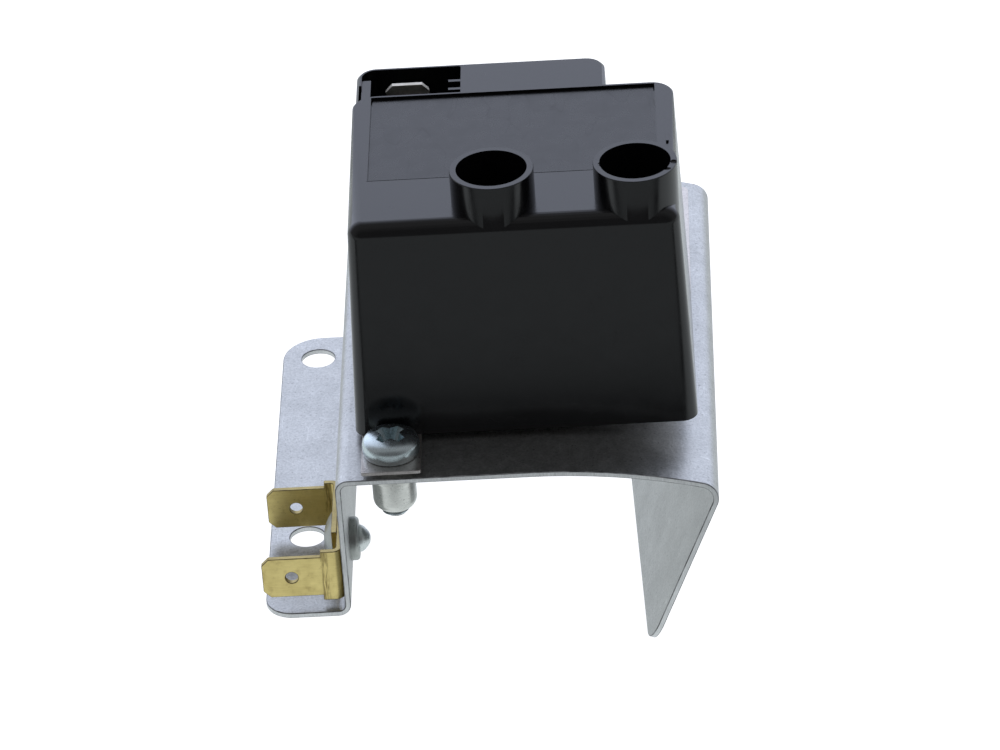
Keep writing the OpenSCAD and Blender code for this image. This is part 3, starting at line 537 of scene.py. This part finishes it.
def stem(half, low, high, name):
    """A turned piece along X between two corners, its half section running from the low one."""
    form = bmesh.new()
    middle = (low + high) / 2
    rings = []
    for along, radius in half:
        corners = []
        for k in range(STEM_SIDES):
            angle = 2 * math.pi * k / STEM_SIDES
            out = Vector((0.0, math.cos(angle), math.sin(angle))) * radius
            corners.append(form.verts.new((Vector((low.x + along, middle.y, middle.z)) + out) * MM))
        rings.append(corners)
    skin(form, rings)
    for face in form.faces:
        face.smooth = len(face.verts) == 4
    mesh = bpy.data.meshes.new(name)
    mesh.materials.append(STEM)
    form.to_mesh(mesh)
    form.free()
    mesh.set_sharp_from_angle(angle=math.radians(STEM_SHARP))
    return in_scene(name, mesh)


mandrel = stem(STEM_HALF, *box_in_mm("rivet_mandrel"), "broken_mandrel")
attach(mandrel, "root")
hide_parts("rivet_mandrel")


# Screws: M4 pan heads of cold-headed steel with a pressed cross and a rolled thread, zinc-plated
# with a faint blue-green film, and darker over their lower ends. They hold the mounting plate's lug
# and flange to the rivet nuts.

ALL_WAYS = (1.0, 1.0, 1.0)
SCREW = turned("passivated_screw", (0.50, 0.59, 0.61), (0.68, 0.76, 0.79), (0.20, 0.34), ALL_WAYS)
SCREW_END = turned("dark_screw_end", (0.09, 0.08, 0.07), (0.22, 0.20, 0.18), (0.40, 0.60), ALL_WAYS)
HEAD_R = 4.0
SCREW_LOW, SCREW_HIGH = box_in_mm("fixing_screws")
SCREW_X = (SCREW_LOW.x + SCREW_HIGH.x) / 2
FRONT_AT = (SCREW_X, SCREW_LOW.y + HEAD_R)
REAR_AT = (SCREW_X, SCREW_HIGH.y - HEAD_R)
FRONT_TURN = 0.83
REAR_TURN = 0.3
SEAT_Z = box_in_mm("housing")[0].z
SCREW_LEN = SEAT_Z - SCREW_LOW.z
SCREW_SIDES = 48
SCREW_SHARP = 38.0
SHANK_R = 1.95
# How much narrower than the shank, and how far above its end or below the head.
TIP = ((0.5, 0.0), (0.3, 0.25))
# How far up from the screw's end its finish is darker.
DARK_END = 0.3
NECK = ((0.1, 0.5), (0.0, 0.0))
THREAD_FROM = 0.4
THREAD_TO = 0.8
THREAD_DEEP = 0.28
THREAD_FLANK = 2.2
PITCH = 0.7
RINGS_A_TURN = 6
# Radius of the head and height above its seat, from the seat up over the rim to the crown.
HEAD = ((3.72, 0.0), (3.88, 0.12), (3.97, 0.5), (HEAD_R, 1.0), (3.98, 1.45), (3.90, 1.80),
        (3.74, 2.12), (3.48, 2.38), (3.10, 2.57), (2.6, 2.73), (2.0, 2.88), (1.3, 3.0), (0.6, 3.08))
# Height above the seat, reach of an arm, half its width, and radius of the corner between arms.
RECESS = ((3.6, 2.42, 0.66, 1.42), (2.6, 2.10, 0.60, 1.18), (1.3, 1.35, 0.48, 0.85),
          (0.75, 0.85, 0.40, 0.60))


def ring(form, radii, z, at):
    """A ring of corners round an upright axis, each at its own radius and angle."""
    corners = []
    for radius, angle in radii:
        place = (at[0] + radius * math.cos(angle), at[1] + radius * math.sin(angle), z)
        corners.append(form.verts.new(Vector(place) * MM))
    return corners


def blank(at, name):
    """The screw before its cross is pressed: shank, thread as a true helix, and domed head."""
    form = bmesh.new()
    angles = [2 * math.pi * k / SCREW_SIDES for k in range(SCREW_SIDES)]
    end_z = SEAT_Z - SCREW_LEN
    rings = []
    for narrower, height in TIP:
        radii = [(SHANK_R - narrower, angle) for angle in angles]
        rings.append(ring(form, radii, end_z + height, at))
    rise = THREAD_FROM
    while rise < SCREW_LEN - THREAD_TO:
        radii = []
        for angle in angles:
            phase = (rise / PITCH - angle / (2 * math.pi)) % 1.0
            height = min(1.0, THREAD_FLANK * abs(phase - 0.5))
            radii.append((SHANK_R - THREAD_DEEP * (1.0 - height), angle))
        rings.append(ring(form, radii, end_z + rise, at))
        rise += PITCH / RINGS_A_TURN
    for narrower, depth in NECK:
        radii = [(SHANK_R - narrower, angle) for angle in angles]
        rings.append(ring(form, radii, SEAT_Z - depth, at))
    for radius, height in HEAD:
        rings.append(ring(form, [(radius, angle) for angle in angles], SEAT_Z + height, at))
    skin(form, rings)
    for face in form.faces:
        face.smooth = len(face.verts) == 4
        face.material_index = 1 if face.calc_center_median().z < (end_z + DARK_END) * MM else 0
    mesh = bpy.data.meshes.new(name)
    for material in (SCREW, SCREW_END):
        mesh.materials.append(material)
    form.to_mesh(mesh)
    form.free()
    return in_scene(name, mesh)


def screw(at, turn, name):
    """One pan-head screw, with the cross pressed into its head at a turn."""
    piece = blank(at, name)
    cross = bmesh.new()
    sunk = []
    for height, reach, half, root in RECESS:
        corners = []
        for k in range(4):
            arm = turn + k * math.pi / 2
            spread = math.atan2(half, reach)
            tip_r = math.hypot(half, reach)
            corners += [(tip_r, arm - spread), (tip_r, arm + spread), (root, arm + math.pi / 4)]
        sunk.append(ring(cross, corners, SEAT_Z + height, at))
    skin(cross, list(reversed(sunk)))
    take_away(piece, cross)
    piece.data.set_sharp_from_angle(angle=math.radians(SCREW_SHARP))
    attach(piece, "root")
    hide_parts("fixing_screws")


screw(FRONT_AT, FRONT_TURN, "front_screw")
screw(REAR_AT, REAR_TURN, "rear_screw")


# Mains tabs: two blades stamped from tinned brass, 0.8 mm thick, that stand side by side on the
# floor of the terminal bay and take the push-on connectors of the supply.

TIN = stamped("tinned_brass", (0.50, 0.48, 0.42), (0.68, 0.66, 0.60), (0.34, 0.32, 0.27),
              (16.0, 3.0, 2.0))
TIN_EDGE = sheared("sheared_tinned_edge", (0.40, 0.38, 0.32), (0.70, 0.67, 0.60), (2.0, 2.0, 2.0))
worked("line_tab", "line_blade", (TIN, TIN_EDGE), THIN_EDGE_R, TAB_T)
worked("neutral_tab", "neutral_blade", (TIN, TIN_EDGE), THIN_EDGE_R, TAB_T)


# High-voltage contacts: turned and nickel-plated pins at the bottom of the two sockets,
# each with a lead of insulated wire up from the coil.

PIN = turned("nickel_pin", (0.42, 0.40, 0.36), (0.60, 0.58, 0.53), (0.22, 0.34), ROUND_Z)
dress("left_contact", PIN)
dress("right_contact", PIN)
LEAD = moulding("silicone_lead", (0.30, 0.055, 0.035), (0.38, 0.50), 1.42, (31.0, 0.0, 5.0))
dress("high_voltage_leads", LEAD)


# Circuit board: laminate of glass cloth and resin, cut to size and cast in with its parts.
# The weave shows just under a green lacquer.

def woven_board():
    """Green lacquer over glass cloth, whose threads cross along X and Y."""
    material, shader = surface("lacquered_board", 0.0, 0.4, (0.03, 0.12, 0.05), 1.52)
    tree = material.node_tree
    vector = millimetres(tree)
    warp = grain(tree, vector, 1.5, 1.0, 0.5, (3.0, 0.2, 1.0))
    weft = grain(tree, vector, 1.5, 1.0, 0.5, (0.2, 3.0, 1.0))
    weave = sum_of(tree, warp, weft, "MAXIMUM")
    colour = blend(tree, between(tree, weave, 0.4, 0.7), (0.018, 0.085, 0.035), (0.045, 0.16, 0.07))
    tree.links.new(colour, shader.inputs["Base Color"])
    tree.links.new(between(tree, weave, *NOISE_SPAN, 0.30, 0.46), shader.inputs["Roughness"])
    relief(tree, weave, shader, 0.01)
    return material


dress("circuit_board", woven_board())


# Transformer: nylon bobbin with cheeks and chambers, a ferrite rod through it, and windings
# of enamelled copper wire that lie in turns round the rod.

def wound(name, dark, light, turns_per_mm):
    """Enamelled wire in close turns round a coil that lies along X."""
    material, shader = surface(name, 0.85, 0.3, light)
    tree = material.node_tree
    vector = millimetres(tree)
    turns = tree.nodes.new("ShaderNodeTexWave")
    turns.wave_type = "BANDS"
    turns.bands_direction = "X"
    turns.inputs["Scale"].default_value = turns_per_mm * 0.5
    turns.inputs["Distortion"].default_value = 0.6
    tree.links.new(vector, turns.inputs["Vector"])
    patches = grain(tree, vector, 0.5, 3.0)
    shade = sum_of(tree, sum_of(tree, turns.outputs["Fac"], 0.6, "MULTIPLY"),
                   sum_of(tree, patches, 0.4, "MULTIPLY"))
    tree.links.new(blend(tree, shade, dark, light), shader.inputs["Base Color"])
    tree.links.new(between(tree, patches, *NOISE_SPAN, 0.24, 0.38), shader.inputs["Roughness"])
    relief(tree, turns.outputs["Fac"], shader, 0.05)
    return material


NYLON = moulding("natural_nylon", (0.62, 0.58, 0.47), (0.38, 0.50), 1.5, (11.0, 4.0, 2.0))
dress("coil_bobbin", NYLON)
FERRITE = moulding("sintered_ferrite", (0.045, 0.045, 0.048), (0.45, 0.62), 1.6, (12.0, 9.0, 2.0))
dress("ferrite_rod", FERRITE)
dress("primary_winding", wound("thick_enamelled_wire", (0.30, 0.09, 0.03), (0.66, 0.27, 0.11), 2.2))
dress("secondary_windings", wound("thin_enamelled_wire", (0.34, 0.11, 0.04), (0.70, 0.30, 0.12), 7.0))


# Parts on the board: film capacitor dipped in epoxy, trigger diode, rectifier and resistor,
# soldered on and cast in. The rectifier has one band on its body and the resistor has three.

def lacquered(name, body, band, node, bands):
    """A lacquered body with painted bands across its longer side."""
    material, shader = surface(name, 0.0, 0.35, body, 1.52)
    tree = material.node_tree
    low, high = box_in_mm(node)
    sides = list(high - low)
    longest = sides.index(max(sides))
    vector = millimetres(tree)
    split = tree.nodes.new("ShaderNodeSeparateXYZ")
    tree.links.new(vector, split.inputs["Vector"])
    place = split.outputs["XYZ"[longest]]
    fine = grain(tree, vector, 1.1, 3.0)
    colour = blend(tree, fine, tuple(c * 0.8 for c in body), tuple(c * 1.15 for c in body))
    for share, half in bands:
        middle = low[longest] + share * sides[longest]
        away = tree.nodes.new("ShaderNodeMath")
        away.operation = "COMPARE"
        away.inputs[1].default_value = middle
        away.inputs[2].default_value = half
        tree.links.new(place, away.inputs[0])
        colour = blend(tree, away.outputs["Value"], colour, band)
    tree.links.new(colour, shader.inputs["Base Color"])
    tree.links.new(between(tree, fine, *NOISE_SPAN, 0.28, 0.42), shader.inputs["Roughness"])
    relief(tree, fine, shader, 0.02)
    return material


RED = (0.42, 0.10, 0.035)
EPOXY = (0.02, 0.02, 0.022)
GREY = (0.5, 0.5, 0.5)
WHITE = (0.62, 0.62, 0.60)
SAND = (0.50, 0.36, 0.20)
BROWN = (0.16, 0.05, 0.03)
# Share of the body's length at which a band lies, and half its width.
THREE_BANDS = ((0.40, 0.2), (0.50, 0.2), (0.60, 0.2))
ONE_BAND = ((0.62, 0.35),)
dress("storage_capacitor", lacquered("dipped_film", RED, RED, "storage_capacitor", ()))
dress("trigger_diode", lacquered("moulded_epoxy", EPOXY, GREY, "trigger_diode", ()))
dress("rectifier_diode", lacquered("black_diode", EPOXY, WHITE, "rectifier_diode", ONE_BAND))
dress("series_resistor", lacquered("coated_resistor", SAND, BROWN, "series_resistor", THREE_BANDS))


# Studio: a pale floor just under the leg's lower edge, white to the camera. Gloss sees it bright
# round the part, then a dark band a little in front of it, a painted shadow of the part, and half
# bright farther off. The room is white to the camera too, and its light comes most from behind the
# part and least from in front.

FLOOR_GAP = 0.6
FLOOR_HALF = 3000.0
floor_z = cad_box[0][2] - FLOOR_GAP * MM
edge = FLOOR_HALF * MM
floor_mesh = bpy.data.meshes.new("floor")
corners = [(x * edge, y * edge, floor_z) for x, y in ((-1, -1), (1, -1), (1, 1), (-1, 1))]
floor_mesh.from_pydata(corners, [], [(0, 1, 2, 3)])
floor = in_scene("floor", floor_mesh)


def glowing(tree, strength, colour=(1.0, 1.0, 1.0)):
    """A light of its own, of a plain or a linked strength."""
    glow = tree.nodes.new("ShaderNodeEmission")
    glow.inputs["Color"].default_value = (*colour, 1.0)
    if isinstance(strength, float):
        glow.inputs["Strength"].default_value = strength
    else:
        tree.links.new(strength, glow.inputs["Strength"])
    return glow.outputs["Emission"]


def mixed(tree, value, first, second):
    """One shader where the value is 0 and the other where it is 1."""
    mix = tree.nodes.new("ShaderNodeMixShader")
    tree.links.new(value, mix.inputs["Fac"])
    tree.links.new(first, mix.inputs[1])
    tree.links.new(second, mix.inputs[2])
    return mix.outputs["Shader"]


CAMERA_GLOW = 0.86
# Where along Y gloss sees the floor turn from dark to bright near the part, and to dim far off.
# The dark band between them is a painted shadow of the part, seen only in gloss.
NEAR_Y = (-104.0, -92.0)
NEAR_GLOW = 0.86
FAR_Y = (-130.0, -114.0)
FAR_GLOW = (0.48, 0.02)
FLOOR_TINT = (0.93, 0.99, 1.02)
paper = bpy.data.materials.new("pale_floor")
paper.use_nodes = True
tree = paper.node_tree
tree.nodes.clear()
out = tree.nodes.new("ShaderNodeOutputMaterial")
path = tree.nodes.new("ShaderNodeLightPath")
matt = tree.nodes.new("ShaderNodeBsdfDiffuse")
fibres = grain(tree, millimetres(tree), 0.4, 2.0)
tree.links.new(blend(tree, fibres, (0.79, 0.79, 0.79), (0.82, 0.82, 0.82)), matt.inputs["Color"])
lit = tree.nodes.new("ShaderNodeAddShader")
tree.links.new(matt.outputs["BSDF"], lit.inputs[0])
tree.links.new(glowing(tree, CAMERA_GLOW), lit.inputs[1])
seen = mixed(tree, path.outputs["Is Camera Ray"], matt.outputs["BSDF"], lit.outputs["Shader"])
mirrored = sum_of(tree, path.outputs["Is Glossy Ray"], path.outputs["Is Transmission Ray"],
                  "MAXIMUM")
where = tree.nodes.new("ShaderNodeSeparateXYZ")
tree.links.new(millimetres(tree), where.inputs["Vector"])
near = between(tree, where.outputs["Y"], *NEAR_Y, 0.0, NEAR_GLOW)
far = between(tree, where.outputs["Y"], *FAR_Y, *FAR_GLOW)
seen = mixed(tree, mirrored, seen, glowing(tree, sum_of(tree, near, far, "MAXIMUM"), FLOOR_TINT))
tree.links.new(seen, out.inputs["Surface"])
floor_mesh.materials.append(paper)

# The room's two colours, the directions along Y between which it turns from one to the other,
# and those between which it falls to a share of its strength in front.
ROOM_DIM = (0.30, 0.30, 0.31)
ROOM_BRIGHT = (1.35, 1.45, 1.75)
BACK_Y = (0.2, 0.8)
FRONT_Y = (-0.75, -0.3)
FRONT_SHARE = 0.45
studio = bpy.data.worlds.new("studio")
bpy.context.scene.world = studio
studio.use_nodes = True
tree = studio.node_tree
tree.nodes.clear()
out = tree.nodes.new("ShaderNodeOutputWorld")
path = tree.nodes.new("ShaderNodeLightPath")
place = tree.nodes.new("ShaderNodeTexCoord")
split = tree.nodes.new("ShaderNodeSeparateXYZ")
tree.links.new(place.outputs["Generated"], split.inputs["Vector"])
back = between(tree, split.outputs["Y"], *BACK_Y)
soft = tree.nodes.new("ShaderNodeBackground")
tree.links.new(blend(tree, back, ROOM_DIM, ROOM_BRIGHT), soft.inputs["Color"])
front = between(tree, split.outputs["Y"], *FRONT_Y, FRONT_SHARE, 1.0)
tree.links.new(front, soft.inputs["Strength"])
plain = tree.nodes.new("ShaderNodeBackground")
plain.inputs["Color"].default_value = (1.0, 1.0, 1.0, 1.0)
seen = mixed(tree, path.outputs["Is Camera Ray"], soft.outputs["Background"],
             plain.outputs["Background"])
tree.links.new(seen, out.inputs["Surface"])


# Camera: a long lens above and in front of the part, a little to the right, as the photograph's
# camera was fitted to the straight edges of the bracket and the housing.

CAMERA_AT = (0.05228, -0.6175, 0.3984)
LENS = 180.69
SENSOR = 36.0
CLIP = (0.05, 20.0)
view = Vector((-0.0332, 0.8468, -0.5309)).normalized()
lean = math.radians(-2.245)
roll = math.radians(4.067)
across = Vector((math.cos(lean), -math.sin(lean), 0.0))
up = across.cross(view)
x_axis = across * math.cos(roll) - up * math.sin(roll)
y_axis = across * math.sin(roll) + up * math.cos(roll)
lens = bpy.data.cameras.new("camera")
lens.lens = LENS
lens.sensor_width = SENSOR
lens.clip_start, lens.clip_end = CLIP
camera = in_scene("camera", lens)
turn = Matrix((x_axis, y_axis, -view)).transposed().to_4x4()
camera.matrix_world = Matrix.Translation(CAMERA_AT) @ turn
bpy.context.scene.camera = camera

bpy.context.scene.view_settings.view_transform = "Standard"
